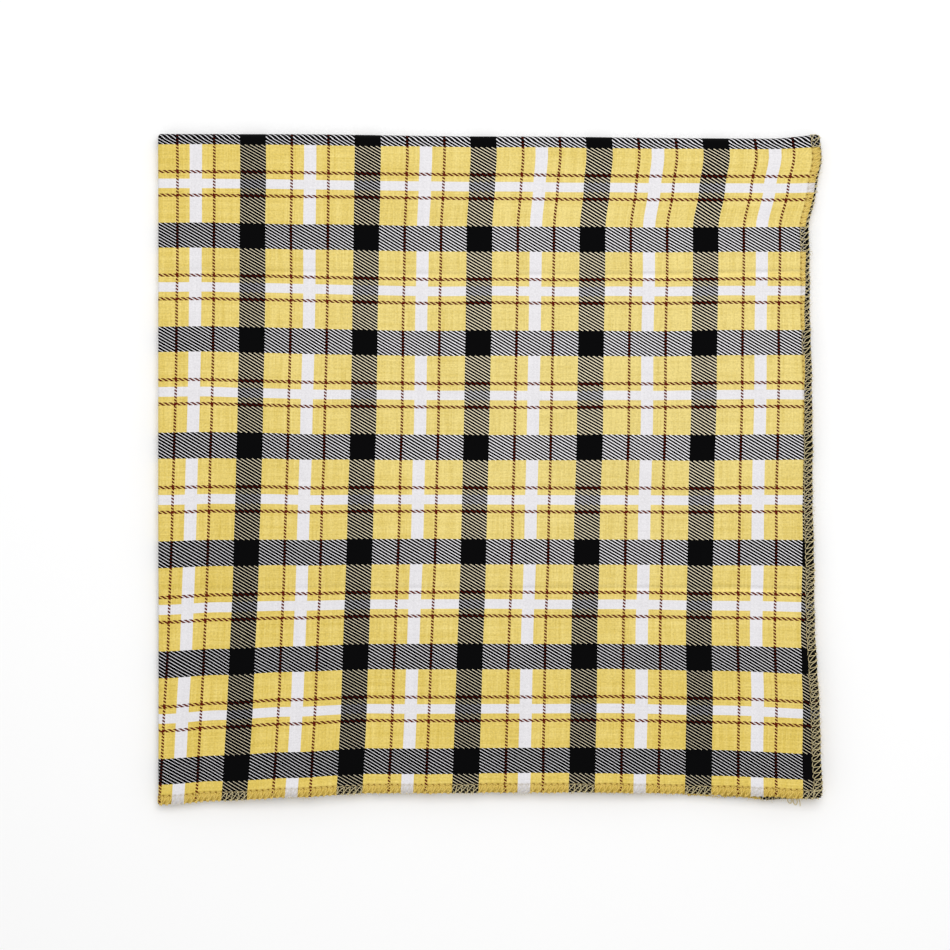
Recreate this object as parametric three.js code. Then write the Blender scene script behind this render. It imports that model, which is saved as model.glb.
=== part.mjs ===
// A square cotton bandana folded in quarters and lying flat. It is one continuous sheet, doubled over
// a crisp fold at its left edge and doubled again over a rounder fold at its top edge.
// Millimetres, +Z up. X runs to the right and Y to the top of the folded square, so the raw,
// overlocked edges lie at +X and -Y and both folds at -X and +Y.
import * as THREE from "three";

// Driving sizes
const FOLDED_WIDTH = 274.7; // left fold to the raw edges on the right
const FOLDED_LENGTH = 277.2; // top fold to the raw edges below
const CLOTH = 1.0; // thickness of one layer
const GAP = 0.5; // air between two layers
const LEG_STEPS = 16; // grid steps along one flat layer
const BEND_STEPS = 8; // grid steps round one fold

// Sizes that follow from them
const LAYERS = 4;
const STACK_HEIGHT = LAYERS * CLOTH + (LAYERS - 1) * GAP;
const FIRST_BEND = (CLOTH + GAP) / 2; // mid-line radius of the left fold, one layer round nothing
const SECOND_BEND = CLOTH + GAP; // mid-line radius of the top fold, which turns a doubled layer
const FIRST_CENTRE = FIRST_BEND + CLOTH / 2; // bend centre, measured in from the left edge
const SECOND_CENTRE = SECOND_BEND + FIRST_BEND + CLOTH / 2; // bend centre, measured in from the top edge

// How far the right edge stands out from FOLDED_WIDTH, down the cloth from the top fold (down 0 to 1)
const RIGHT_EDGE = [
  { down: 0.0, out: 3.2 },
  { down: 0.03, out: 4.2 },
  { down: 0.08, out: 2.0 },
  { down: 0.14, out: -1.2 },
  { down: 0.22, out: -0.8 },
  { down: 0.5, out: 0.4 },
  { down: 0.72, out: 1.2 },
  { down: 0.9, out: 3.4 },
  { down: 1.0, out: 4.3 },
];
// How far the lower edge hangs past FOLDED_LENGTH, across from the left fold (across 0 to 1)
const LOWER_EDGE = [
  { across: 0.0, out: 4.2 },
  { across: 0.1, out: 2.5 },
  { across: 0.2, out: 0.9 },
  { across: 0.33, out: -0.7 },
  { across: 0.67, out: -1.1 },
  { across: 0.85, out: 0.0 },
  { across: 1.0, out: 1.4 },
];
// How far the top fold stands out from its own straight line, across from the left fold
const TOP_FOLD = [
  { across: 0.0, out: 0.8 },
  { across: 0.2, out: 0.7 },
  { across: 0.5, out: -0.1 },
  { across: 0.93, out: -1.1 },
  { across: 1.0, out: 0.4 },
];
// How far each layer's raw edges reach past the edges of the top layer
const LAYER_REACH = {
  upperOuter: { right: 0.0, lower: 0.0 }, // the layer that shows
  upperInner: { right: -0.9, lower: 0.5 },
  lowerInner: { right: -0.5, lower: 0.8 },
  lowerOuter: { right: 0.4, lower: -0.7 }, // the layer on the table
};
// Soft swells of the stack: the place of the crest, its spread each way and its height
const SWELLS = [
  { name: "top fold", across: 0.5, acrossSpread: 2.0, down: 0.0, downSpread: 0.09, height: 0.8 },
  { name: "left fold", across: 0.0, acrossSpread: 0.06, down: 0.5, downSpread: 2.0, height: 0.4 },
  { name: "lower right corner", across: 1.0, acrossSpread: 0.16, down: 1.0, downSpread: 0.14, height: 0.7 },
];

const mix = THREE.MathUtils.lerp;
const clamp01 = (value) => THREE.MathUtils.clamp(value, 0, 1);

// The value of a table's column at a place along its key column, eased from row to row.
function along(table, key, place) {
  const next = table.findIndex((row) => row[key] >= place);
  if (next === 0) return table[0].out;
  if (next < 0) return table[table.length - 1].out;
  const from = table[next - 1];
  const to = table[next];
  return mix(from.out, to.out, THREE.MathUtils.smoothstep(place, from[key], to[key]));
}

// The mid-line of a hairpin: an outer leg from its open end, a half-round bend, an inner leg back.
// reach is the distance in from the fold's outer edge, off the distance from the mid-plane.
function hairpin(length, radius, centre) {
  const stations = [];
  for (let i = 0; i <= LEG_STEPS; i++) {
    const share = (1 - Math.cos((Math.PI * i) / LEG_STEPS)) / 2; // closer steps at both ends
    stations.push({ reach: mix(length, centre, share), off: radius, normalReach: 0, normalOff: 1 });
  }
  const outerLeg = [...stations];
  for (let i = 1; i < BEND_STEPS; i++) {
    const turn = (Math.PI * i) / BEND_STEPS;
    const normalReach = -Math.sin(turn);
    const normalOff = Math.cos(turn);
    stations.push({
      reach: centre + radius * normalReach,
      off: radius * normalOff,
      normalReach,
      normalOff,
    });
  }
  for (const { reach } of outerLeg.reverse()) {
    stations.push({ reach, off: -radius, normalReach: 0, normalOff: -1 });
  }
  return stations;
}

// The height that the swells add to the top of the stack at a place on the folded square.
function swellAt(across, down) {
  return SWELLS.reduce((sum, swell) => {
    const a = (across - swell.across) / swell.acrossSpread;
    const d = (down - swell.down) / swell.downSpread;
    return sum + swell.height * Math.exp(-a * a - d * d);
  }, 0);
}

// One layer's edge reach at a point between the four layers, blended round both folds.
function layerReach(side, outerShare, upperShare) {
  const upper = mix(LAYER_REACH.upperInner[side], LAYER_REACH.upperOuter[side], outerShare);
  const lower = mix(LAYER_REACH.lowerInner[side], LAYER_REACH.lowerOuter[side], outerShare);
  return mix(lower, upper, upperShare);
}

// A point of the folded sheet: section is its station round the left fold, path its station round
// the top fold, and side the signed distance from the sheet's middle.
function foldedPoint(section, path, side) {
  const x = section.reach + side * section.normalReach;
  const off = section.off + side * section.normalOff;
  const reach = path.reach + off * path.normalReach;
  const z = STACK_HEIGHT / 2 + path.off + off * path.normalOff;

  const across = clamp01(x / FOLDED_WIDTH);
  const down = clamp01(reach / FOLDED_LENGTH);
  const outerShare = clamp01((section.off / FIRST_BEND + 1) / 2);
  const upperShare = clamp01((path.off / SECOND_BEND + 1) / 2);
  const right = along(RIGHT_EDGE, "down", down) + layerReach("right", outerShare, upperShare);
  const lower = along(LOWER_EDGE, "across", across) + layerReach("lower", outerShare, upperShare);
  const top = along(TOP_FOLD, "across", across);
  return new THREE.Vector3(
    x + across * across * right,
    mix(top, -lower, down) - reach,
    Math.max(0, z) * (1 + swellAt(across, down) / STACK_HEIGHT),
  );
}

// The whole sheet as one closed mesh: a grid of points on each of its two sides and a rim between.
function foldedSheet() {
  const sections = hairpin(FOLDED_WIDTH, FIRST_BEND, FIRST_CENTRE);
  const paths = hairpin(FOLDED_LENGTH, SECOND_BEND, SECOND_CENTRE);
  const lastSection = sections.length - 1;
  const lastPath = paths.length - 1;
  const sides = [CLOTH / 2, -CLOTH / 2];
  const points = sides.flatMap((side) =>
    sections.flatMap((section) => paths.map((path) => foldedPoint(section, path, side))),
  );
  const id = (side, s, p) => (side * sections.length + s) * paths.length + p;

  const index = [];
  const quad = (a, b, c, d) => index.push(a, b, c, a, c, d);
  for (let s = 0; s < lastSection; s++) {
    for (let p = 0; p < lastPath; p++) {
      quad(id(0, s, p), id(0, s, p + 1), id(0, s + 1, p + 1), id(0, s + 1, p));
      quad(id(1, s, p), id(1, s + 1, p), id(1, s + 1, p + 1), id(1, s, p + 1));
    }
  }
  for (let s = 0; s < lastSection; s++) {
    quad(id(0, s, 0), id(0, s + 1, 0), id(1, s + 1, 0), id(1, s, 0));
    quad(id(0, s + 1, lastPath), id(0, s, lastPath), id(1, s, lastPath), id(1, s + 1, lastPath));
  }
  for (let p = 0; p < lastPath; p++) {
    quad(id(0, 0, p + 1), id(0, 0, p), id(1, 0, p), id(1, 0, p + 1));
    quad(id(0, lastSection, p), id(0, lastSection, p + 1), id(1, lastSection, p + 1), id(1, lastSection, p));
  }

  const sheet = new THREE.BufferGeometry().setFromPoints(points).setIndex(index);
  sheet.computeVertexNormals();
  return sheet;
}

const cotton = new THREE.MeshStandardMaterial({ color: 0xe7d174, roughness: 0.9, metalness: 0 });
const bandana = new THREE.Mesh(foldedSheet(), cotton);
bandana.name = "bandana";

// The origin is the middle of the folded stack's box, on the surface it lies on.
const box = new THREE.Box3().setFromObject(bandana);
const middle = box.getCenter(new THREE.Vector3());
bandana.position.set(-middle.x, -middle.y, -box.min.z);

const part = new THREE.Group();
part.add(bandana);

export default part;
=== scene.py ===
"""A square cotton bandana folded in quarters, lying flat and seen from straight above.

The cloth is one thin sheet. Every point of it, and of the thread sewn on it, is given in the flat
square's own millimetres: s runs across and t along from the middle of the square, h is the height
above the middle of the cloth. folded() bends those points round both folds and lays them down.
"""
import math
from types import SimpleNamespace

import bpy
import numpy as np
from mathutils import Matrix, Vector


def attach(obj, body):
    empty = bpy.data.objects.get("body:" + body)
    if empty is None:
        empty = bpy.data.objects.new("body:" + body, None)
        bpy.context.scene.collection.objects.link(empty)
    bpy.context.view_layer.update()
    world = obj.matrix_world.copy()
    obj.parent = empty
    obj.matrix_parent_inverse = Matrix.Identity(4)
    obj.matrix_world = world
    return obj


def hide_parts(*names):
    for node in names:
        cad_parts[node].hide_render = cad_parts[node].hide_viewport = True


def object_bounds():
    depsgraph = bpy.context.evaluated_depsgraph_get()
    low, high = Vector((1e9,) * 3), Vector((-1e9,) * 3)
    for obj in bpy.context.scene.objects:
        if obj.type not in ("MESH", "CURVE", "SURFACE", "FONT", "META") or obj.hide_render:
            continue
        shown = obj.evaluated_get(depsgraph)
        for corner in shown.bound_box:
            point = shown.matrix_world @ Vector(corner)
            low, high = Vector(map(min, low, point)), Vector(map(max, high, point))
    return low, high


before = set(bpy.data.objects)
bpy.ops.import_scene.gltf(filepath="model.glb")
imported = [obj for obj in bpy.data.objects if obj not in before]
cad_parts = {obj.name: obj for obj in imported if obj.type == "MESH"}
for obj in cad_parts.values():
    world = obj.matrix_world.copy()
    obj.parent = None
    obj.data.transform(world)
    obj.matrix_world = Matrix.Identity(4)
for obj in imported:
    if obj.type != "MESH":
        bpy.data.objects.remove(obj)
CAD_LOW, CAD_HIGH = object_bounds()
MM = 0.001

# The folded square, as in the solid
FOLDED_WIDTH = 274.7  # left fold to the raw edges on the right
FOLDED_LENGTH = 277.2  # top fold to the raw edges below
SOLID_LAYER = 1.0
SOLID_GAP = 0.5
LAYER_PITCH = SOLID_LAYER + SOLID_GAP
STACK_HEIGHT = 4 * SOLID_LAYER + 3 * SOLID_GAP
FIRST_BEND = LAYER_PITCH / 2
SECOND_BEND = LAYER_PITCH
FIRST_CENTRE = FIRST_BEND + SOLID_LAYER / 2
SECOND_CENTRE = SECOND_BEND + FIRST_BEND + SOLID_LAYER / 2
HALF_WIDTH = FOLDED_WIDTH - FIRST_CENTRE + math.pi * FIRST_BEND / 2  # of the flat square
HALF_LENGTH = FOLDED_LENGTH - SECOND_CENTRE + math.pi * SECOND_BEND / 2

# Rows are (place down or across from 0 to 1, millimetres that the edge stands out there)
RIGHT_EDGE = [
    (0.0, 3.2), (0.03, 4.2), (0.08, 2.0), (0.14, -1.2), (0.22, -0.8),
    (0.5, 0.4), (0.72, 1.2), (0.9, 3.4), (1.0, 4.3),
]
LOWER_EDGE = [(0.0, 4.2), (0.1, 2.5), (0.2, 0.9), (0.33, -0.7), (0.67, -1.1), (0.85, 0.0), (1.0, 1.4)]
TOP_FOLD = [(0.0, 0.8), (0.2, 0.7), (0.5, -0.1), (0.93, -1.1), (1.0, -1.1)]
TOP_CORNER = [(0.93, 0.0), (1.0, 1.5)]  # the fold also rises at its right end
TOP_CORNER_DEPTH = 9.0  # how far down that fades
# The cloth is drawn upwards beside its left fold and its right edge, so the stripes bow there
BOW_LEFT = 2.9
BOW_RIGHT = 1.9
BOW_SPREAD = 0.2  # how far across that goes, as a share of the width
BOW_END = 0.8  # how far down, as a share of the length
# Each layer's raw edges past those of the top layer: (right, lower)
LAYER_REACH = {
    "upper_outer": (0.0, 0.0),
    "upper_inner": (-0.9, 0.1),
    "lower_inner": (-0.5, 0.3),
    "lower_outer": (0.4, -0.3),
}
# The layers below also show past the top one's lower edge: (place across, mm)
UNDER_LOWER = [(0.0, -0.3), (0.8, -0.3), (0.86, 0.9), (0.92, 1.3), (0.955, 0.6), (1.0, -0.4)]
# Soft swells of the stack: (across, spread, down, spread, height in mm)
SWELLS = [
    (0.5, 2.0, 0.0, 0.09, 0.8),
    (0.0, 0.06, 0.5, 2.0, 0.4),
    (1.0, 0.16, 1.0, 0.14, 0.7),
]
# Old creases: (mm down at the left, mm down at the right, from across, to across, half width, depth)
CREASES = [
    (59.2, 58.4, -0.2, 1.2, 1.2, 0.5),
    (191.2, 191.0, -0.1, 1.0, 1.2, 0.5),
]
CREASE_FADE = (0.3, 0.15)  # how far across they fade in and out
CREASE_WOBBLE = 0.3
CREASE_TURN = 9.0  # radians of the wobble across the cloth
CREASE_PAINTED_SHADE = 0.12  # painted shade: how much darker the cloth is along their upper walls, which face away from the light
CREASE_PAINTED_HIGHLIGHT = 0.11  # and painted highlight: how much paler along their lower ones, which face the light
CREASE_LINE = 0.6  # half width of the line of painted shade
CREASE_HIGHLIGHT_LINE = 1.0  # and of the painted highlight
CREASE_SPLIT = 0.9  # how far they lie from a crease's middle
CREASE_EASE = 0.2  # how softly they reach full strength on the right
# Slow waves of the cloth: (waves across, waves down, phase, height in mm)
WAVES = [
    (1.3, 0.7, 0.4, 0.42),
    (-0.9, 1.9, 2.1, 0.32),
    (2.7, 1.1, 4.0, 0.18),
    (0.6, -3.4, 1.3, 0.14),
    (3.9, 2.6, 5.2, 0.08),
    (-4.6, 3.1, 0.9, 0.06),
]
RIPPLE_LENGTH = 17.0  # of the puckers along the sewn edges
RIPPLE_HEIGHT = 0.22
RIPPLE_DEPTH = 9.0  # how far in from the edge they fade
RIPPLE_SWAY = 0.22  # how far they move the edge itself
# Sines that make up the puckers: (share, waves beside the first, phases beside the first)
RIPPLE_PARTS = [(0.5, 1.0, 1), (0.3, 0.43, 2), (0.2, 1.7, 5)]
# Phases of the puckers: in height, and how the sway differs from layer to layer
RIGHT_PHASE = 0.3
LOWER_PHASE = 1.1
OUTER_PHASE = 1.7
UPPER_PHASE = 0.9
LOWER_SWAY_PHASE = 1.0
CORNER_RADIUS = 1.6
CORNER_CUT = 0.3  # share of that radius by which a corner of the square is drawn in
# How the layers part at the raw edges, from the floor up: (mm, waves along an edge, phase)
PARTINGS = [(0.5, 3.1, 0.4), (0.9, 2.3, 2.6), (0.7, 4.2, 4.4)]
PARTING_DEPTH = 15.0  # how far in from an edge they close
PARTING_START = 60.0  # how far along an edge from its fold they reach full height
EDGE_DRIFT = 0.6  # how far the lower layers' edges wander from their own reach
DRIFT_WAVES = 0.3  # beside those of the puckers
DRIFT_PHASES = 4  # beside those of the sway
DRIFT_LOWER_PHASE = 2.0
DRIFT_INWARD = 0.4  # how far the drift of the right edges lies inwards, from 0 to 1

CLOTH = 0.5  # thickness of the cloth
EDGE_LIFT = 0.46  # room for the thread under the cloth at the raw edges
LIFT_WIDTH = 3.0  # how far in from an edge all of it goes
LIFT_FADE = 5.0  # and how much further it fades
EDGE_BAND = 3.4  # width of the overlock
STITCH = 2.45  # its pitch
SEAM_END = 0.6  # how far from the end of a side the stitches start
LOOSE_LOOPS = 0.3  # how much further the loops reach out below the left fold
LOOSE_LENGTH = 22.0  # how far along the edge that goes
THREAD = 0.15  # radius of its thread
FIBRES = 90  # loose fibres on each sewn side
FIBRE = 0.045  # radius of one
FIBRE_LENGTH = 1.5
STEP = 3.1  # grid step along a flat layer
FOLD_STEPS = 12  # grid steps round a fold
CREASE_STEP = 0.5  # grid step across a crease
CREASE_ROWS = 6  # on each side of it
SEED = 41


def smooth(value):
    """0 below 0, 1 above 1 and eased between."""
    value = np.clip(value, 0, 1)
    return value * value * (3 - 2 * value)


def along(table, place):
    """A table's value at each place, eased from row to row."""
    keys = np.array([row[0] for row in table])
    outs = np.array([row[1] for row in table])
    place = np.clip(place, keys[0], keys[-1])
    to = np.clip(np.searchsorted(keys, place), 1, len(keys) - 1)
    share = smooth((place - keys[to - 1]) / (keys[to] - keys[to - 1]))
    return outs[to - 1] * (1 - share) + outs[to] * share


def hairpin(place, radius, centre):
    """The mid-line of a fold: (distance in from its outer edge, distance off its mid-plane, and the
    two parts of its normal) at each signed distance along the cloth from the middle of the fold."""
    half = math.pi * radius / 2
    turn = np.clip(place / radius, -math.pi / 2, math.pi / 2)
    reach = centre - radius * np.cos(turn) + np.maximum(np.abs(place) - half, 0)
    return reach, radius * np.sin(turn), -np.cos(turn), np.sin(turn)


def layer_reach(side, outer, upper):
    """One layer's edge reach, blended round both folds."""
    high = LAYER_REACH["upper_inner"][side] * (1 - outer) + LAYER_REACH["upper_outer"][side] * outer
    low = LAYER_REACH["lower_inner"][side] * (1 - outer) + LAYER_REACH["lower_outer"][side] * outer
    return low * (1 - upper) + high * upper


def relief(across, down):
    """Height that folds, creases and waves add at the top of the stack, in millimetres."""
    height = np.zeros_like(across)
    for crest_x, spread_x, crest_y, spread_y, rise in SWELLS:
        height += rise * np.exp(-((across - crest_x) / spread_x) ** 2 - ((down - crest_y) / spread_y) ** 2)
    for left, right, start, end, half, depth in CREASES:
        middle = left + (right - left) * across + CREASE_WOBBLE * np.sin(across * CREASE_TURN + left)
        off = (down * FOLDED_LENGTH - middle) / half
        ends = smooth((across - start) / CREASE_FADE[0]) * smooth((end - across) / CREASE_FADE[1])
        height -= depth * ends * np.exp(-off * off)
    for waves_x, waves_y, phase, rise in WAVES:
        height += rise * np.sin(2 * math.pi * (waves_x * across + waves_y * down) + phase)
    return height


def ripple(place, phase):
    """Uneven puckers along a sewn edge, from -1 to 1."""
    turn = 2 * math.pi * place / RIPPLE_LENGTH
    return sum(share * np.sin(waves * turn + phases * phase) for share, waves, phases in RIPPLE_PARTS)


def folded(s, t, h):
    """Points of the flat square, in millimetres, as points of the folded one in metres."""
    s, t, h = np.broadcast_arrays(*(np.asarray(v, float) for v in (s, t, h)))
    reach_1, off_1, in_1, out_1 = hairpin(s, FIRST_BEND, FIRST_CENTRE)
    reach_2, off_2, in_2, out_2 = hairpin(t, SECOND_BEND, SECOND_CENTRE)
    x = reach_1 + h * in_1
    off = off_1 + h * out_1
    reach = reach_2 + off * in_2
    middle_z = STACK_HEIGHT / 2 + off_2 + off_1 * out_2 - (SOLID_LAYER - CLOTH) / 2
    z = middle_z + h * out_1 * out_2
    level = (middle_z - CLOTH / 2) / LAYER_PITCH  # 0 for the lowest layer, 3 for the top one

    across = np.clip(x / FOLDED_WIDTH, 0, 1)
    down = np.clip(reach / FOLDED_LENGTH, 0, 1)
    outer = (off_1 / FIRST_BEND + 1) / 2
    upper = (off_2 / SECOND_BEND + 1) / 2
    right = along(RIGHT_EDGE, down) + layer_reach(0, outer, upper)
    lower = along(LOWER_EDGE, across) + layer_reach(1, outer, upper)
    top = along(TOP_FOLD, across)

    to_right = HALF_WIDTH - np.abs(s)
    to_lower = HALF_LENGTH - np.abs(t)
    near_right = np.exp(-np.maximum(to_right, 0) / RIPPLE_DEPTH)
    near_lower = np.exp(-np.maximum(to_lower, 0) / RIPPLE_DEPTH)
    corner = smooth(1 - to_right / CORNER_RADIUS) * smooth(1 - to_lower / CORNER_RADIUS)
    phase = OUTER_PHASE * outer + UPPER_PHASE * upper
    drift_phase = DRIFT_PHASES * phase
    under = 1 - outer * upper
    right = right + under * EDGE_DRIFT * (ripple(DRIFT_WAVES * reach, drift_phase) - DRIFT_INWARD)
    lower_drift = EDGE_DRIFT * ripple(DRIFT_WAVES * x, drift_phase + DRIFT_LOWER_PHASE)
    lower = lower + under * (along(UNDER_LOWER, across) + lower_drift)
    corner_cut = CORNER_CUT * CORNER_RADIUS * corner
    x = x + across**2 * right + near_right * RIPPLE_SWAY * ripple(reach, phase) - corner_cut
    corner_rise = along(TOP_CORNER, across) * np.exp(-np.maximum(reach, 0) / TOP_CORNER_DEPTH)
    y = (top * (1 - down) - lower * down) + corner_rise - reach
    bow = BOW_LEFT * np.exp(-((across / BOW_SPREAD) ** 2))
    bow = bow + BOW_RIGHT * np.exp(-(((1 - across) / BOW_SPREAD) ** 2))
    y = y + bow * np.sin(math.pi * np.clip(down / BOW_END, 0, 1))
    y = y - near_lower * RIPPLE_SWAY * ripple(x, phase + LOWER_SWAY_PHASE) + corner_cut

    puckers = near_right * ripple(reach, RIGHT_PHASE) + near_lower * ripple(x, LOWER_PHASE)
    puckers = RIPPLE_HEIGHT * puckers
    to_edge = np.minimum(to_right, to_lower)
    lift = EDGE_LIFT * smooth((LIFT_WIDTH + LIFT_FADE - to_edge) / LIFT_FADE)
    open_right = np.exp(-(np.maximum(to_right, 0) / PARTING_DEPTH) ** 2) * smooth(reach / PARTING_START)
    open_lower = np.exp(-(np.maximum(to_lower, 0) / PARTING_DEPTH) ** 2) * smooth(x / PARTING_START)
    for number, (rise, waves, start) in enumerate(PARTINGS):
        beside_right = open_right * (0.5 + 0.5 * np.sin(2 * math.pi * waves * down + start))
        beside_lower = open_lower * (0.5 + 0.5 * np.sin(2 * math.pi * waves * across + 2 * start))
        either = beside_right + beside_lower - beside_right * beside_lower
        lift = lift + rise * either * np.clip(level - number, 0, 1)
    z = z * (1 + (relief(across, down) + puckers) / STACK_HEIGHT) + lift
    corner_x = CAD_LOW.x
    corner_y = CAD_HIGH.y - TOP_FOLD[0][1] * MM
    return np.stack([x * MM + corner_x, y * MM + corner_y, z * MM], axis=-1)


def flat_down(reach):
    """The flat t of a place on the upper layers, from its distance below the top fold."""
    return reach - SECOND_CENTRE + math.pi * SECOND_BEND / 2


def mesh_object(name, points, quads, material, smooth_shaded=True):
    """A mesh of four-sided faces, made from arrays."""
    mesh = bpy.data.meshes.new(name)
    mesh.vertices.add(len(points))
    mesh.vertices.foreach_set("co", np.asarray(points, np.float32).ravel())
    mesh.loops.add(4 * len(quads))
    mesh.loops.foreach_set("vertex_index", np.asarray(quads, np.int32).ravel())
    mesh.polygons.add(len(quads))
    mesh.polygons.foreach_set("loop_start", np.arange(0, 4 * len(quads), 4, dtype=np.int32))
    mesh.polygons.foreach_set("use_smooth", np.full(len(quads), smooth_shaded))
    mesh.update(calc_edges=True)
    mesh.validate()
    mesh.materials.append(material)
    thing = bpy.data.objects.new(name, mesh)
    bpy.context.scene.collection.objects.link(thing)
    return thing


def add_uv(thing, name, per_corner):
    """A UV map, from a pair of numbers for each corner of each face."""
    layer = thing.data.uv_layers.new(name=name)
    layer.data.foreach_set("uv", np.asarray(per_corner, np.float32).ravel())


# Materials


class Nodes:
    """Short forms for the nodes of one material."""

    def __init__(self, name):
        self.material = bpy.data.materials.new(name)
        self.material.use_nodes = True
        self.tree = self.material.node_tree
        self.shader = self.tree.nodes["Principled BSDF"]

    def put(self, socket, value):
        if isinstance(value, bpy.types.NodeSocket):
            self.tree.links.new(value, socket)
        else:
            socket.default_value = value

    def add(self, kind, **settings):
        node = self.tree.nodes.new(kind)
        for key, value in settings.items():
            setattr(node, key, value)
        return node

    def math(self, operation, a, b=0.0, c=0.0):
        node = self.add("ShaderNodeMath", operation=operation)
        for socket, value in zip(node.inputs, (a, b, c)):
            self.put(socket, value)
        return node.outputs[0]

    def mix(self, share, a, b, blend="MIX"):
        node = self.add("ShaderNodeMix", data_type="RGBA", blend_type=blend)
        self.put(node.inputs["Factor"], share)
        self.put(node.inputs[6], a)
        self.put(node.inputs[7], b)
        return node.outputs[2]

    def vector(self, x, y, z=0.0):
        node = self.add("ShaderNodeCombineXYZ")
        for socket, value in zip(node.inputs, (x, y, z)):
            self.put(socket, value)
        return node.outputs[0]

    def noise(self, x, y, rates, detail):
        """Noise from 0 to 1 over two coordinates, with a rate for each."""
        node = self.add("ShaderNodeTexNoise")
        place = [self.math("MULTIPLY", value, rate) for value, rate in zip((x, y), rates)]
        self.put(node.inputs["Vector"], self.vector(*place))
        self.put(node.inputs["Scale"], 1.0)
        self.put(node.inputs["Detail"], detail)
        return node.outputs["Fac"]

    def bump(self, height, strength, depth):
        """Fine relief of the surface, its depth in millimetres."""
        node = self.add("ShaderNodeBump")
        node.inputs["Strength"].default_value = strength
        node.inputs["Distance"].default_value = depth * MM
        self.put(node.inputs["Height"], height)
        self.put(self.shader.inputs["Normal"], node.outputs[0])

    def uv(self, name, unit=1.0):
        """A UV map's two numbers, in the given unit."""
        source = self.add("ShaderNodeUVMap", uv_map=name)
        split = self.add("ShaderNodeSeparateXYZ")
        self.put(split.inputs[0], source.outputs[0])
        return [self.math("DIVIDE", split.outputs[i], unit) for i in (0, 1)]

    def wave(self, turns):
        """0 to 1 and back for each whole turn."""
        sine = self.math("SINE", self.math("MULTIPLY", turns, 2 * math.pi))
        return self.math("MULTIPLY_ADD", sine, 0.5, 0.5)

    def bell(self, off):
        """1 at 0, falling softly to 0 by about 2."""
        return self.math("EXPONENT", self.math("MULTIPLY", self.math("MULTIPLY", off, off), -1.0))


def linear(red, green, blue):
    """An sRGB colour of 0 to 255 as linear RGBA."""
    def one(v):
        v /= 255
        return v / 12.92 if v <= 0.04045 else ((v + 0.055) / 1.055) ** 2.4
    return (one(red), one(green), one(blue), 1.0)


YELLOW_DEEP = linear(221, 194, 95)
YELLOW_PALE = linear(226, 206, 128)
CREAM = linear(238, 226, 194)  # the pale threads between black ones of the warp
PALE = linear(244, 242, 245)  # and of the weft
WHITE = linear(226, 224, 227)
BLACK = linear(5, 5, 6)
RED = linear(92, 24, 8)
RIB_SHADOW_TINT = linear(188, 162, 102)  # painted shadow of the stitches and light bounced off them, multiplying the cloth's colour under the stitches
NEEDLE_SHADOW_TINT = linear(140, 112, 30)  # and painted shade in the holes where the needle went in
THREAD_DEEP = linear(206, 188, 134)
THREAD_PALE = linear(232, 221, 180)
# Painted light and shade on a sewn-down thread from the cloth beneath: gold from yellow showing through it,
# painted shade over black
THREAD_LIT_FROM_YELLOW = linear(240, 206, 84)
THREAD_SHADED_ON_BLACK = linear(206, 192, 148)
# The plaid's repeat: (stripe, its threads in the warp, its threads in the weft)
SETT = [
    ("black", 19, 32), ("yellow", 18, 33), ("red", 2, 4), ("yellow", 8, 7),
    ("white", 9, 12), ("yellow", 8, 7), ("red", 2, 4), ("yellow", 18, 33),
]
# How a ramp's red, green and blue say that a stripe is black, white or red
STRIPE_CODE = {"yellow": (0, 0, 0, 1), "black": (1, 0, 0, 1), "white": (0, 1, 0, 1), "red": (0, 0, 1, 1)}
REPEAT = {"warp": 48.0, "weft": 44.0}  # millimetres across and along
TWILL = 4  # threads in the twill's repeat
BLACK_SHARE = {"warp": 0.87, "weft": 0.855}  # of the twill's repeat that a black stripe covers
BLACK_PALING = 0.20  # how much less of it where the cloth is palest
BLACK_SHARE_SEWN = 0.9  # and under the overlock, partly for the hatch drawn together by the thread and partly as painted shade under it
RED_SHARE = 0.62
STEPPING = 0.3  # how far the twill's lines step from thread to thread, from 0 to 1
FIRST_BLACK_ACROSS = -8.0  # middle of a black stripe, from the left fold at the top
FIRST_BLACK_DOWN = -0.5  # middle of a black stripe, from the top fold
LEAN = 0.028  # how far the stripes lean from the fold at the raw edges
LEAN_BEND = 1.3  # how much of that is missing by the middle of the square, so the stripes curve
PALEST_PLACE = (186.0, 95.0)  # where the yellow is palest, across and down
PALEST_SPREAD = (190.0, 140.0)
CLOUD_PALING = 0.3  # how much that paling is clouded
YARN_PALING = 0.8  # and how much it differs from thread to thread
# Rates of noise, for each millimetre or thread: (across, down)
WOBBLE_RATE = (0.02, 0.02)  # stripes that are not quite straight
WARP_RATE = (7.31, 0.07)  # each thread's own shade, drifting along it
WEFT_RATE = (0.07, 5.17)
STREAK_DOWN_RATE = (0.42, 0.014)
STREAK_ACROSS_RATE = (0.014, 0.46)
CLOUD_RATE = (0.011, 0.011)
SPECKLE_RATE = (1.3, 1.3)
FLUFF_RATE = (3.0, 3.0)
RIB_RATE = (0.9, 0.9)
# How much each makes the cloth lighter or darker
YARN_SHADE = 0.22
STREAK_SHADE = 0.15
SPECKLE_SHADE = 0.6
WHITE_EVEN = 0.5  # how much less of all that white stripes show
# Relief and sheen of the cloth
FLUFF_HEIGHT = 0.6  # beside the height of a thread
CLOTH_BUMP = 0.4
CLOTH_BUMP_DEPTH = 0.1
CLOTH_ROUGH = 0.78
FLUFF_ROUGH = 0.2
# Strengths of the painted shade on the cloth in the seam, from 0 to 1
RIB_SHADE = 0.95
RIBS_PER_STITCH = 2.0
RIB_LEAN = 0.16  # in stitches for each millimetre in from the edge
EDGE_SHADE = 0.3
EDGE_SHADE_WIDTH = 1.2
NEEDLE_PLACE = EDGE_BAND + 0.12  # how far in from the edge
NEEDLE_WIDTH = 0.46
NEEDLE_DOTS = 0.65
NEEDLE_RUN = 0.35  # between the dots
SEAM_OFF_WHITE = 0.6  # how much less of them white stripes show
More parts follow.
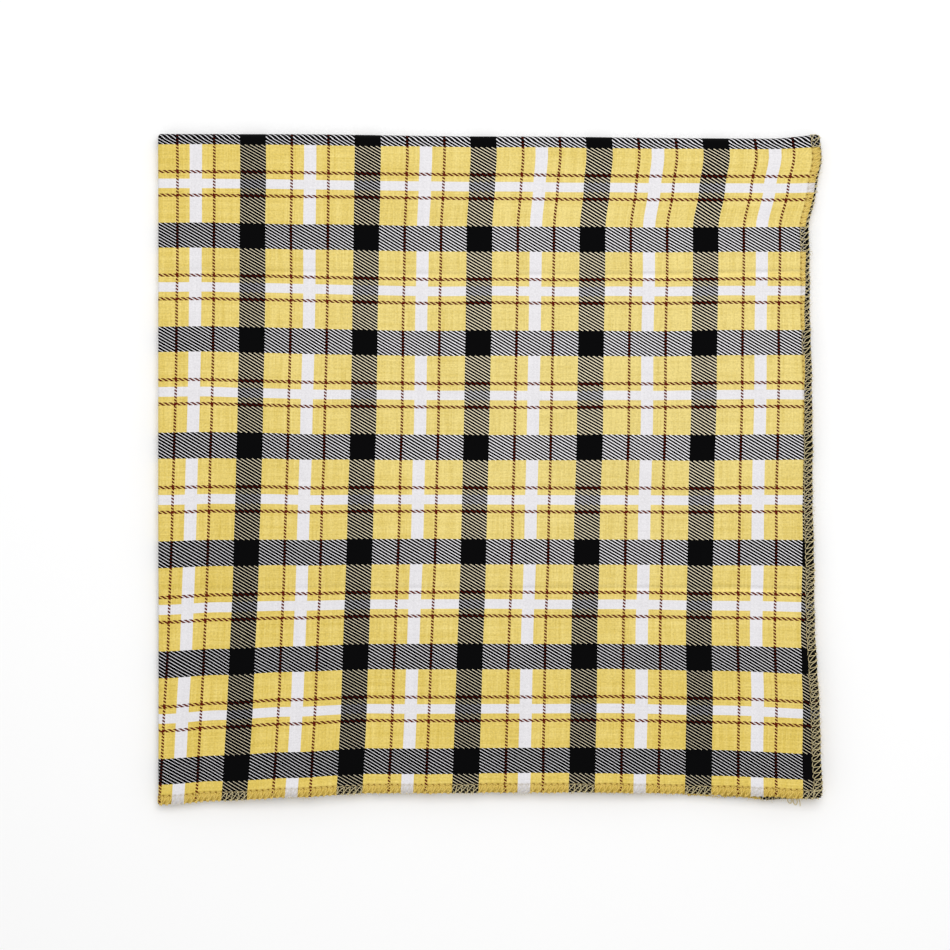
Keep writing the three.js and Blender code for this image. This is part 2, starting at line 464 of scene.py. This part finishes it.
# Thread of the overlock: its twist, its shades and its relief, for each ring of the mesh and each turn
PLY_RINGS = 0.62
PLY_TURNS = 2.0
THREAD_SHADE_RATE = (0.2, 0.0)
FUZZ_RATE = (3.0, 8.0)
GROUND_LIGHT_THROUGH = 0.8  # how far a thread that is sewn down takes the ground's colour, as painted light and shade from the cloth beneath it
PLY_SHADE = 0.2
FUZZ_HEIGHT = 0.5
THREAD_BUMP = 0.5
THREAD_BUMP_DEPTH = 0.04
THREAD_ROUGH = 0.62
FUZZ_ROUGH = 0.2


def threads_of(n, way, place, first_black):
    """One direction's threads at a place in millimetres: the count along the cloth, the thread's whole
    number, and whether its stripe is black, white or red."""
    column = {"warp": 1, "weft": 2}[way]
    total = sum(row[column] for row in SETT)
    pitch = REPEAT[way] / total
    start = SETT[0][column] * pitch / 2 - first_black
    count = n.math("DIVIDE", n.math("ADD", place, start), pitch)
    number = n.math("FLOOR", count)
    ramp = n.add("ShaderNodeValToRGB")
    ramp.color_ramp.interpolation = "CONSTANT"
    stops = ramp.color_ramp.elements
    stops.remove(stops[1])
    edge = 0
    for row in SETT:
        stop = stops.new(edge / total) if edge else stops[0]
        stop.color = STRIPE_CODE[row[0]]
        edge += row[column]
    n.put(ramp.inputs[0], n.math("FRACT", n.math("DIVIDE", n.math("ADD", number, 0.5), float(total))))
    split = n.add("ShaderNodeSeparateColor")
    n.put(split.inputs[0], ramp.outputs[0])
    black, white, red = list(split.outputs)[:3]
    return SimpleNamespace(count=count, number=number, black=black, white=white, red=red)


def weave(n):
    """The flat place of a point, in millimetres, and the warp and weft threads there."""
    s, t = n.uv("Flat", MM)
    wobble = n.math("SUBTRACT", n.noise(s, t, WOBBLE_RATE, detail=1.0), 0.5)
    from_right = n.math("SUBTRACT", 1.0, n.math("DIVIDE", n.math("ABSOLUTE", s), HALF_WIDTH))
    from_lower = n.math("SUBTRACT", 1.0, n.math("DIVIDE", n.math("ABSOLUTE", t), HALF_LENGTH))
    lean = n.math("MULTIPLY_ADD", n.math("MULTIPLY", from_right, from_lower), -LEAN_BEND * LEAN, LEAN)
    warp_place = n.math("ADD", n.math("MULTIPLY_ADD", t, lean, s), wobble)
    weft_place = n.math("SUBTRACT", t, wobble)
    warp = threads_of(n, "warp", warp_place, FIRST_BLACK_ACROSS)
    weft = threads_of(n, "weft", weft_place, FIRST_BLACK_DOWN)
    return s, t, warp, weft


def crease_shade(n, s, t):
    """Painted shade and highlight of the old creases: how much darker the cloth is along their upper walls,
    or paler along their lower walls where it is below 0.
    """
    across = n.math("DIVIDE", s, FOLDED_WIDTH)
    dark = 0.0
    for left, right, start, *_ in CREASES:
        wobble = n.math("SINE", n.math("MULTIPLY_ADD", across, CREASE_TURN, left))
        wobble = n.math("MULTIPLY", wobble, CREASE_WOBBLE)
        middle = n.math("ADD", n.math("MULTIPLY_ADD", across, right - left, flat_down(left)), wobble)
        off = n.math("SUBTRACT", t, middle)
        upper = n.bell(n.math("DIVIDE", n.math("ADD", off, CREASE_SPLIT), CREASE_LINE))
        lower = n.bell(n.math("DIVIDE", n.math("SUBTRACT", off, CREASE_SPLIT), CREASE_HIGHLIGHT_LINE))
        both = n.math("MULTIPLY_ADD", lower, -CREASE_PAINTED_HIGHLIGHT, n.math("MULTIPLY", upper, CREASE_PAINTED_SHADE))
        ends = n.math("SMOOTH_MIN", n.math("SUBTRACT", across, start), 1.0, CREASE_EASE)
        dark = n.math("MULTIPLY_ADD", both, n.math("MAXIMUM", ends, 0.0), dark)
    return dark


def stitch_run(half):
    """How many stitches one side has, where the first begins, and how far it is from one to the next."""
    count = round(2 * half / STITCH)
    pitch = (2 * (half - SEAM_END) - STITCH) / (count - 1)
    return count, SEAM_END - half, pitch


def seam_shade(n, s, t):
    """Whether the overlock covers the cloth, and how much painted shade the cloth takes there: painted
    shadow in ribs under the stitches and at the seam's outer edge, and painted shade in dots at the needle
    holes."""
    to_right = n.math("SUBTRACT", HALF_WIDTH, n.math("ABSOLUTE", s))
    to_lower = n.math("SUBTRACT", HALF_LENGTH, n.math("ABSOLUTE", t))
    to_edge = n.math("MINIMUM", to_right, to_lower)
    on_right = n.math("LESS_THAN", to_right, to_lower)
    on_lower = n.math("SUBTRACT", 1.0, on_right)
    turns = 0.0
    for beside, half, here in ((t, HALF_LENGTH, on_right), (s, HALF_WIDTH, on_lower)):
        _, first, pitch = stitch_run(half)
        stitches = n.math("DIVIDE", n.math("SUBTRACT", beside, first), pitch)
        turns = n.math("MULTIPLY_ADD", stitches, here, turns)
    lean = n.math("MULTIPLY", to_edge, RIB_LEAN)
    rib = n.wave(n.math("MULTIPLY", n.math("SUBTRACT", turns, lean), RIBS_PER_STITCH))
    rib = n.math("MULTIPLY", rib, n.noise(s, t, RIB_RATE, detail=1.0))
    outermost = n.bell(n.math("DIVIDE", to_edge, EDGE_SHADE_WIDTH))
    band = n.math("LESS_THAN", to_edge, EDGE_BAND)
    ribs = n.math("MULTIPLY_ADD", outermost, EDGE_SHADE, n.math("MULTIPLY", rib, RIB_SHADE))
    ribs = n.math("MULTIPLY", band, ribs)
    line = n.bell(n.math("DIVIDE", n.math("SUBTRACT", to_edge, NEEDLE_PLACE), NEEDLE_WIDTH))
    quarter_turn = 0.25  # so that each stitch begins with a dot of painted shade at its needle hole
    hole = n.wave(n.math("ADD", turns, quarter_turn))
    hole = n.math("MULTIPLY", hole, hole)
    dots = n.math("MULTIPLY", line, n.math("MULTIPLY_ADD", hole, NEEDLE_DOTS, NEEDLE_RUN))
    return band, ribs, dots


def plaid_cotton():
    """Woven cotton twill with a plaid of hatched black and red stripes and plain white ones."""
    n = Nodes("plaid_cotton")
    s, t, warp, weft = weave(n)

    # The twill's diagonal, a little stepped from thread to thread
    warp_steps = n.math("MULTIPLY_ADD", n.math("FRACT", warp.count), -STEPPING, warp.count)
    weft_steps = n.math("MULTIPLY_ADD", n.math("FRACT", weft.count), -STEPPING, weft.count)
    twill = n.math("FRACT", n.math("DIVIDE", n.math("SUBTRACT", warp_steps, weft_steps), float(TWILL)))
    warp_up = n.math("LESS_THAN", twill, 0.5)
    weft_up = n.math("SUBTRACT", 1.0, warp_up)

    def dark(of_warp, of_weft, warp_share, weft_share):
        """Where a dark stripe of either direction shows, which covers a share of the twill."""
        by_warp = n.math("MULTIPLY", of_warp, n.math("LESS_THAN", twill, warp_share))
        from_end = n.math("SUBTRACT", 1.0, twill)
        by_weft = n.math("MULTIPLY", of_weft, n.math("LESS_THAN", from_end, weft_share))
        return n.math("MAXIMUM", by_warp, by_weft)

    # Uneven yarn: each thread has its own shade, drifting along its length
    warp_shade = n.noise(warp.number, t, WARP_RATE, detail=1.0)
    weft_shade = n.noise(s, weft.number, WEFT_RATE, detail=1.0)
    streak_down = n.noise(s, t, STREAK_DOWN_RATE, detail=3.0)
    streak_across = n.noise(s, t, STREAK_ACROSS_RATE, detail=3.0)
    speckle = n.noise(s, t, SPECKLE_RATE, detail=2.0)
    cloud = n.noise(s, t, CLOUD_RATE, detail=2.0)
    on_white = n.math("MAXIMUM", warp.white, weft.white)
    yarn = n.math("SUBTRACT", n.math("ADD", warp_shade, weft_shade), 1.0)
    streaks = n.math("SUBTRACT", n.math("ADD", streak_down, streak_across), 1.0)
    unevenness = n.math("MULTIPLY_ADD", yarn, YARN_SHADE, n.math("MULTIPLY", streaks, STREAK_SHADE))
    unevenness = n.math("MULTIPLY_ADD", n.math("SUBTRACT", speckle, 0.5), SPECKLE_SHADE, unevenness)
    unevenness = n.math("MULTIPLY", unevenness, n.math("MULTIPLY_ADD", on_white, -WHITE_EVEN, 1.0))
    # The yarn's own unevenness, less the painted shade and highlight of the creases
    shade = n.math("SUBTRACT", n.math("ADD", 1.0, unevenness), crease_shade(n, s, t))

    # Paler yellow and thinner black towards the palest place, on the upper right of the top layer
    off_across, off_down = (
        n.math("DIVIDE", n.math("SUBTRACT", n.math("ABSOLUTE", value), middle), spread)
        for value, middle, spread in zip((s, t), PALEST_PLACE, PALEST_SPREAD)
    )
    paleness = n.math("MULTIPLY", n.bell(off_across), n.bell(off_down))
    paleness = n.math("MULTIPLY_ADD", n.math("SUBTRACT", cloud, 0.5), CLOUD_PALING, paleness)
    pale = n.math("MULTIPLY_ADD", n.math("ADD", yarn, streaks), YARN_PALING, paleness)
    ground = n.mix(pale, YELLOW_DEEP, YELLOW_PALE)
    ground = n.mix(warp.black, ground, CREAM)
    ground = n.mix(on_white, ground, WHITE)
    ground = n.mix(weft.black, ground, PALE)
    ground = n.mix(1.0, ground, n.vector(shade, shade, shade), "MULTIPLY")
    band, ribs, dots = seam_shade(n, s, t)
    # Painted shade of the seam on the cloth, weaker on white stripes
    tinted = n.math("MULTIPLY_ADD", on_white, -SEAM_OFF_WHITE, 1.0)
    ground = n.mix(n.math("MULTIPLY", ribs, tinted), ground, RIB_SHADOW_TINT, "MULTIPLY")
    ground = n.mix(n.math("MULTIPLY", dots, tinted), ground, NEEDLE_SHADOW_TINT, "MULTIPLY")
    coloured = n.mix(dark(warp.red, weft.red, RED_SHARE, RED_SHARE), ground, RED)
    # More black under the overlock: partly the thread drawing the hatch together, partly painted shade
    sewn_share = n.math("MULTIPLY", band, BLACK_SHARE_SEWN)
    warp_share, weft_share = (
        n.math("MAXIMUM", sewn_share, n.math("MULTIPLY_ADD", paleness, -BLACK_PALING, BLACK_SHARE[way]))
        for way in ("warp", "weft")
    )
    coloured = n.mix(dark(warp.black, weft.black, warp_share, weft_share), coloured, BLACK)
    n.put(n.shader.inputs["Base Color"], coloured)

    # Round threads, with a little fluff
    warp_round = n.math("SINE", n.math("MULTIPLY", n.math("FRACT", warp.count), math.pi))
    weft_round = n.math("SINE", n.math("MULTIPLY", n.math("FRACT", weft.count), math.pi))
    fluff = n.noise(s, t, FLUFF_RATE, detail=3.0)
    raised = n.math("ADD", n.math("MULTIPLY", warp_round, warp_up), n.math("MULTIPLY", weft_round, weft_up))
    n.bump(n.math("MULTIPLY_ADD", fluff, FLUFF_HEIGHT, raised), CLOTH_BUMP, CLOTH_BUMP_DEPTH)
    n.put(n.shader.inputs["Roughness"], n.math("MULTIPLY_ADD", fluff, FLUFF_ROUGH, CLOTH_ROUGH))
    n.shader.inputs["Specular IOR Level"].default_value = 0.04
    n.shader.inputs["Sheen Weight"].default_value = 0.02
    n.shader.inputs["Sheen Roughness"].default_value = 0.5
    return n.material


def pale_thread():
    """Thin spun thread of the overlock, pale, with painted light from the cloth's ground colour showing
    through where it is sewn down, and painted shade over black.
    """
    n = Nodes("overlock_thread")
    _, t, warp, weft = weave(n)
    ring, turn = n.uv("Thread")
    ply = n.wave(n.math("MULTIPLY_ADD", ring, PLY_RINGS, n.math("MULTIPLY", turn, PLY_TURNS)))
    drift = n.noise(ring, turn, THREAD_SHADE_RATE, detail=2.0)
    fuzz = n.noise(ring, turn, FUZZ_RATE, detail=2.0)
    on_white = n.math("MAXIMUM", warp.white, weft.white)
    colour = n.mix(drift, THREAD_DEEP, THREAD_PALE)
    sewn_down = n.math("LESS_THAN", n.math("ABSOLUTE", t), HALF_LENGTH + FIBRE_LENGTH / 2)
    # Painted light and shade from the cloth beneath the thread
    ground = n.mix(on_white, THREAD_LIT_FROM_YELLOW, WHITE)
    ground = n.mix(n.math("MAXIMUM", warp.black, weft.black), ground, THREAD_SHADED_ON_BLACK)
    colour = n.mix(n.math("MULTIPLY", sewn_down, GROUND_LIGHT_THROUGH), colour, ground)
    colour = n.mix(n.math("MULTIPLY", ply, PLY_SHADE), colour, THREAD_DEEP)
    n.put(n.shader.inputs["Base Color"], colour)
    n.bump(n.math("MULTIPLY_ADD", fuzz, FUZZ_HEIGHT, ply), THREAD_BUMP, THREAD_BUMP_DEPTH)
    n.put(n.shader.inputs["Roughness"], n.math("MULTIPLY_ADD", fuzz, FUZZ_ROUGH, THREAD_ROUGH))
    n.shader.inputs["Specular IOR Level"].default_value = 0.2
    n.shader.inputs["Sheen Weight"].default_value = 0.1
    return n.material


# Cloth


def stations(half, bend, extra=()):
    """Places along the flat cloth, close together round the fold and at the given extra places."""
    arc = math.pi * bend / 2
    plain = np.linspace(arc, half, round((half - arc) / STEP) + 1)
    detailed = np.union1d(plain, [place for place in extra if arc < place < half])
    fold = np.linspace(-arc, arc, FOLD_STEPS + 1)[1:-1]
    return np.concatenate([-plain[::-1], fold, detailed])


# Room on the map for baked looks, where the layer that shows gets most: (below 0, above 0)
BAKE_MARGIN = 0.01
BAKE_ACROSS = (0.16, 0.68)
BAKE_DOWN = (0.29, 0.68)
BAKE_BACK = (0.87, 0.12)  # where the cloth's other face starts across the map, and its width


def bake_place(place, half, room):
    """A flat coordinate on the map for baked looks."""
    below, above = room
    part = place / half
    return BAKE_MARGIN + np.where(part < 0, (1 + part) * below, below + part * above)


def make_cloth(material):
    """The folded sheet, with a face, a back and four thin sides."""
    crease_rows = [
        flat_down((left + right) / 2) + step * CREASE_STEP
        for left, right, *_ in CREASES
        for step in range(-CREASE_ROWS, CREASE_ROWS + 1)
    ]
    across = stations(HALF_WIDTH, FIRST_BEND)
    down = stations(HALF_LENGTH, SECOND_BEND, crease_rows)
    s, t = (grid.ravel() for grid in np.meshgrid(across, down, indexing="ij"))
    points = np.concatenate([folded(s, t, CLOTH / 2), folded(s, t, -CLOTH / 2)])
    columns, rows = len(across), len(down)
    number = np.arange(2 * columns * rows).reshape(2, columns, rows)
    face, back = number

    def strip(a, b, c, d):
        return np.stack([a, b, c, d], axis=-1).reshape(-1, 4)

    quads = np.concatenate([
        strip(face[:-1, :-1], face[:-1, 1:], face[1:, 1:], face[1:, :-1]),
        strip(back[:-1, :-1], back[1:, :-1], back[1:, 1:], back[:-1, 1:]),
        strip(face[:-1, 0], face[1:, 0], back[1:, 0], back[:-1, 0]),
        strip(face[1:, -1], face[:-1, -1], back[:-1, -1], back[1:, -1]),
        strip(face[0, 1:], face[0, :-1], back[0, :-1], back[0, 1:]),
        strip(face[-1, :-1], face[-1, 1:], back[-1, 1:], back[-1, :-1]),
    ])
    cloth = mesh_object("bandana_cloth", points, quads, material)
    flat = np.stack([s, t], axis=-1) * MM
    add_uv(cloth, "Flat", np.concatenate([flat, flat])[quads])
    u = bake_place(s, HALF_WIDTH, BAKE_ACROSS)
    v = bake_place(t, HALF_LENGTH, BAKE_DOWN)
    back_u = BAKE_BACK[0] + BAKE_BACK[1] * (s / HALF_WIDTH + 1) / 2
    add_uv(cloth, "OFBake", np.concatenate([np.stack([u, v], -1), np.stack([back_u, v], -1)])[quads])
    return cloth


# Overlock


BAKE_ROWS = 96
THREAD_TOP = CLOTH / 2 + THREAD  # height of a thread that lies on the cloth
LOOP_START = EDGE_BAND - 0.1
# Paths of the three threads in one stitch: (along in stitches, mm in from the edge, height in mm)
FACE_THREAD = [
    (0.0, LOOP_START, THREAD_TOP), (-0.10, 2.2, THREAD_TOP + 0.08), (-0.26, 0.8, THREAD_TOP + 0.04),
    (-0.42, -0.30, 0.0), (-0.16, 0.6, THREAD_TOP), (0.20, 1.7, THREAD_TOP + 0.05),
    (0.66, 2.8, THREAD_TOP + 0.03),
]
BACK_THREAD = [
    (0.0, LOOP_START, -THREAD_TOP), (0.14, 1.8, -THREAD_TOP), (0.30, 0.3, -THREAD_TOP),
    (0.38, -0.28, 0.1), (0.42, 0.2, THREAD_TOP - 0.05), (0.48, 0.5, THREAD_TOP),
    (0.56, 0.2, THREAD_TOP - 0.05), (0.62, -0.26, 0.1), (0.72, 0.3, -THREAD_TOP),
    (0.86, 1.8, -THREAD_TOP),
]
NEEDLE_THREAD = [
    (0.0, EDGE_BAND, -0.2), (0.2, EDGE_BAND + 0.05, THREAD_TOP - 0.14),
    (0.5, EDGE_BAND + 0.08, THREAD_TOP - 0.06), (0.8, EDGE_BAND + 0.05, THREAD_TOP - 0.14),
]
# Those threads with their shares of the thread's radius
STITCH_THREADS = [(FACE_THREAD, 1.0), (BACK_THREAD, 0.9), (NEEDLE_THREAD, 0.8)]
TAIL_SHARE = 1.3
JITTER_ALONG = 0.09
JITTER_IN = 0.12
# Loose fibres
FIBRE_MARGIN = 1.0  # how far from the ends of a side they start
FIBRE_ROOT = 0.3  # how far in from the edge
FIBRE_SHORTEST = 0.5
FIBRE_LEAN = 0.7
FIBRE_BOW = 0.35
FIBRE_RISE = (-0.1, 0.3)
LOWER_SEED = SEED + 5
OFF_AXIS = (0.31, 0.17, 0.93)  # a direction that no thread starts in
# The loose end left by the sewing below the lower edge: (along, in from the edge) in millimetres
TAIL_PLACE = 262.0
TAIL_HEIGHT = 0.0
TAIL = [
    (-0.2, 2.0), (-0.3, -0.4), (-0.8, -2.2), (0.2, -3.3), (1.0, -2.0), (0.5, -0.8), (1.5, -0.7),
    (1.5, -2.6), (2.5, -3.7), (3.2, -2.3), (2.6, -0.9), (3.5, -0.7), (4.2, -2.4), (4.3, -4.2),
]


def curve_through(controls, per_span):
    """Points on a smooth curve through the control points."""
    padded = np.concatenate([controls[:1], controls, controls[-1:]])
    a, b, c, d = padded[:-3], padded[1:-2], padded[2:-1], padded[3:]
    share = (np.arange(per_span) / per_span)[None, :, None]
    a, b, c, d = (p[:, None, :] for p in (a, b, c, d))
    spans = 0.5 * (
        2 * b + (c - a) * share + (2 * a - 5 * b + 4 * c - d) * share**2
        + (3 * b - a - 3 * c + d) * share**3
    )
    return np.concatenate([spans.reshape(-1, controls.shape[1]), controls[-1:]])


def tube(flat, radius, sides=6):
    """One round thread along a path of flat points, its radius in millimetres. Besides points and quads
    it has, for each corner of each quad, its flat place in metres and its (ring, share of a turn)."""
    path = folded(*flat.T)
    ahead = np.gradient(path, axis=0)
    ahead /= np.linalg.norm(ahead, axis=1, keepdims=True)
    across = np.empty_like(path)
    first = np.cross(ahead[0], OFF_AXIS)
    across[0] = first / np.linalg.norm(first)
    for i in range(1, len(path)):
        carried = across[i - 1] - ahead[i] * (across[i - 1] @ ahead[i])
        across[i] = carried / np.linalg.norm(carried)
    other = np.cross(ahead, across)
    turn = 2 * math.pi * np.arange(sides) / sides
    around = np.cos(turn)[None, :, None] * across[:, None] + np.sin(turn)[None, :, None] * other[:, None]
    points = (path[:, None] + radius * MM * around).reshape(-1, 3)

    rings = np.arange(len(path) - 1)[:, None]
    corners = np.empty((len(path) - 1, sides, 4, 2), int)
    corners[..., 0] = rings[..., None] + [0, 0, 1, 1]
    corners[..., 1] = np.arange(sides)[None, :, None] + [0, 1, 1, 0]
    fan = np.array([(0, k, k + 1, k + 2) for k in range(1, sides - 1, 2)])
    first_end = np.stack([np.zeros_like(fan), fan[:, ::-1]], -1)
    last_end = np.stack([np.full_like(fan, len(path) - 1), fan], -1)
    corners = np.concatenate([corners.reshape(-1, 4, 2), first_end, last_end])
    return SimpleNamespace(
        points=points,
        quads=corners[..., 0] * sides + corners[..., 1] % sides,
        flat=flat[corners[..., 0], :2] * MM,
        place=corners / (1, sides),
    )


def joined(name, tubes, material):
    """One mesh of many threads."""
    points_before = np.cumsum([0] + [len(one.points) for one in tubes])
    rings_before = np.cumsum([0] + [one.place[..., 0].max() for one in tubes])
    points = np.concatenate([one.points for one in tubes])
    quads = np.concatenate([one.quads + before for one, before in zip(tubes, points_before)])
    place = np.concatenate([one.place + (before, 0) for one, before in zip(tubes, rings_before)])
    thing = mesh_object(name, points, quads, material)
    add_uv(thing, "Flat", np.concatenate([one.flat for one in tubes]))
    add_uv(thing, "Thread", place)
    # For baked looks the threads are cut into lengths that lie in rows
    row_length = np.ceil((rings_before[-1] + 1) / BAKE_ROWS)
    row = place[..., 0].min(axis=1, keepdims=True) // row_length
    u = place[..., 0] / row_length - row
    v = (row + place[..., 1]) / BAKE_ROWS
    add_uv(thing, "OFBake", np.stack([u, v], -1))
    return thing


def sewn_edge(name, half, place, material, seed, loose=0.0, tails=()):
    """The overlock of one side of the square. place(q, e) gives the flat point q along and e in from the
    edge. loose is how much further the loops reach out in the middle of the side. tails are loose
    threads, each a list of (along, in from the edge, height)."""
    draw = np.random.default_rng(seed)
    count, first, pitch = stitch_run(half)
    start = first + pitch * np.arange(count)

    def laid(rows, per_span):
        """The flat points of a smooth thread through rows of (along, in from the edge, height)."""
        q, e, h = curve_through(np.asarray(rows, float), per_span).T
        s, t = place(q, e)
        return np.stack([s, t, h], -1)

    def stitched(rows, per_span=2):
        """A thread through rows of (along in stitches, in from the edge, height) for every stitch."""
        rows = np.array(rows)
        q = start[:, None] + rows[None, :, 0] * STITCH + draw.normal(0, JITTER_ALONG, (count, len(rows)))
        e = rows[None, :, 1] + draw.normal(0, JITTER_IN, (count, len(rows)))
        e = e - loose * np.exp(-((q / LOOSE_LENGTH) ** 2)) * (rows[None, :, 1] < 0)
        h = np.broadcast_to(rows[None, :, 2], q.shape)
        return laid(np.stack([q, e, h], -1).reshape(-1, 3), per_span)

    tubes = [tube(stitched(rows), share * THREAD) for rows, share in STITCH_THREADS]
    for _ in range(FIBRES):
        q = draw.uniform(FIBRE_MARGIN - half, half - FIBRE_MARGIN)
        lean = draw.normal(0, FIBRE_LEAN)
        out = draw.uniform(FIBRE_SHORTEST, FIBRE_LENGTH)
        bow = draw.normal(0, FIBRE_BOW)
        rise = draw.uniform(*FIBRE_RISE)
        rows = [(q, FIBRE_ROOT, 0.0), (q + lean / 2 + bow, -out / 2, rise / 2), (q + lean, -out, rise)]
        tubes.append(tube(laid(rows, per_span=2), FIBRE, sides=4))
    tubes += [tube(laid(rows, per_span=4), TAIL_SHARE * THREAD) for rows in tails]
    return joined(name, tubes, material)


def make_overlock(material):
    """The overlock of all four sides, with the loose tail on the one that lies undermost."""
    right = [
        sewn_edge(f"overlock_right_{word}", HALF_LENGTH,
                  lambda q, e, side=side: (side * (HALF_WIDTH - e), q), material, SEED + seed)
        for seed, (word, side) in enumerate([("outer", 1), ("inner", -1)])
    ]
    tail = [(TAIL_PLACE + along, inward, TAIL_HEIGHT) for along, inward in TAIL]
    lower = [
        sewn_edge(f"overlock_lower_{word}", HALF_WIDTH,
                  lambda q, e, side=side: (q, side * (HALF_LENGTH - e)), material, LOWER_SEED + seed,
                  LOOSE_LOOPS, tails)
        for seed, (word, side, tails) in enumerate([("upper", 1, []), ("under", -1, [tail])])
    ]
    return right + lower


# Stage


FLOOR_COLOUR = (0.96, 0.96, 0.96, 1)
FLOOR_HALF = 4.0  # half a side, in metres
KEY_PLACE = (0.09, 0.30, 0.90)  # metres from the middle of the stack
KEY_SIZE = 0.6
KEY_POWER = 4.2
WORLD_STRENGTH = 0.70


def make_stage():
    """A plain pale floor."""
    n = Nodes("floor")
    n.shader.inputs["Base Color"].default_value = FLOOR_COLOUR
    n.shader.inputs["Roughness"].default_value = 0.9
    corners = [(FLOOR_HALF * x, FLOOR_HALF * y, 0) for x, y in ((-1, -1), (1, -1), (1, 1), (-1, 1))]
    floor = mesh_object("floor", corners, [(0, 1, 2, 3)], n.material, False)


def make_light():
    """One large soft light above the cloth, towards its top fold, in an even white room."""
    light = bpy.data.lights.new("key", "AREA")
    light.energy = KEY_POWER
    light.size = KEY_SIZE
    lamp = bpy.data.objects.new("key", light)
    lamp.location = KEY_PLACE
    lamp.rotation_euler = (-lamp.location).to_track_quat("-Z", "Y").to_euler()
    lamp.visible_camera = False
    scene = bpy.context.scene
    scene.collection.objects.link(lamp)
    world = bpy.data.worlds.new("studio")
    world.use_nodes = True
    background = world.node_tree.nodes["Background"]
    background.inputs["Color"].default_value = (1, 1, 1, 1)
    background.inputs["Strength"].default_value = WORLD_STRENGTH
    scene.world = world
    scene.view_settings.view_transform = "Standard"


FRAME_WIDTH = 399.0  # millimetres of cloth across the picture
LOOK_AT = (-6.3, -2.3)  # the picture's middle, from the middle of the stack
LENS = 85.0
SENSOR = 36.0


def make_camera():
    """A camera straight above the cloth, with the photo's top upwards."""
    data = bpy.data.cameras.new("camera")
    data.lens = LENS
    data.sensor_width = SENSOR
    camera = bpy.data.objects.new("camera", data)
    distance = FRAME_WIDTH * MM * LENS / SENSOR
    camera.location = (LOOK_AT[0] * MM, LOOK_AT[1] * MM, STACK_HEIGHT * MM + distance)
    bpy.context.scene.collection.objects.link(camera)
    bpy.context.scene.camera = camera


make_camera()
make_stage()
make_light()
cloth = make_cloth(plaid_cotton())
overlock = make_overlock(pale_thread())
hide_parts("bandana")
for piece in [cloth, *overlock]:
    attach(piece, "root")
